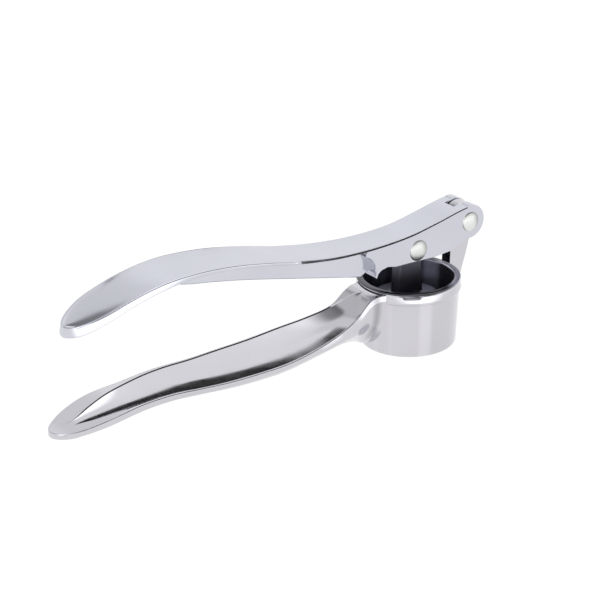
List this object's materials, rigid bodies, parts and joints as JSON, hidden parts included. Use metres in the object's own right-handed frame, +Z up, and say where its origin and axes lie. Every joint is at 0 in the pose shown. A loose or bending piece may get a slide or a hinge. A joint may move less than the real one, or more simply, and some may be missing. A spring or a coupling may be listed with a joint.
{
  "type": "garlic press",
  "caption": "Hand-held hinged press that forces a clove of garlic through a perforated strainer in a round cup.",
  "frame": {"origin": "halfway along the length of the press, on its middle plane, at the level of the flat underside of the cup", "axes": "+X along the press from the handle tips to the hinge, +Z up through the mouth of the cup, +Y to the left when looking along +X"},
  "size_m": [0.15, 0.0312, 0.0448],
  "materials": {
    "lower_body": "polished chrome plate on a zinc casting",
    "upper_lever": "satin chrome plate on a zinc casting",
    "plunger": "dark polished plate on a zinc casting",
    "strainer_basket": "pressed stainless sheet",
    "rivets": "bright domed rivet"
  },
  "bodies": {
    "body": {"lower_body": "lower_body", "strainer_basket": "strainer_basket"},
    "lever": {"upper_lever": "upper_lever", "hinge_rivet": "rivets", "plunger_rivet": "rivets"},
    "plunger": {"plunger": "plunger"}
  },
  "joints": [
    {"name": "lever_hinge", "type": "hinge", "parent": "body", "child": "lever", "pos_m": [0.06985, 0, 0.0345], "axis": [0, 1, 0], "range_deg": [-7.2, 48]},
    {"name": "plunger_swing", "type": "hinge", "parent": "lever", "child": "plunger", "pos_m": [0.05025, 0, 0.0302], "axis": [0, 1, 0], "range_deg": [-48, 7.2]}
  ],
  "couplings": [
    {"joint": "plunger_swing", "follows": "lever_hinge", "ratio": -1}
  ]
}
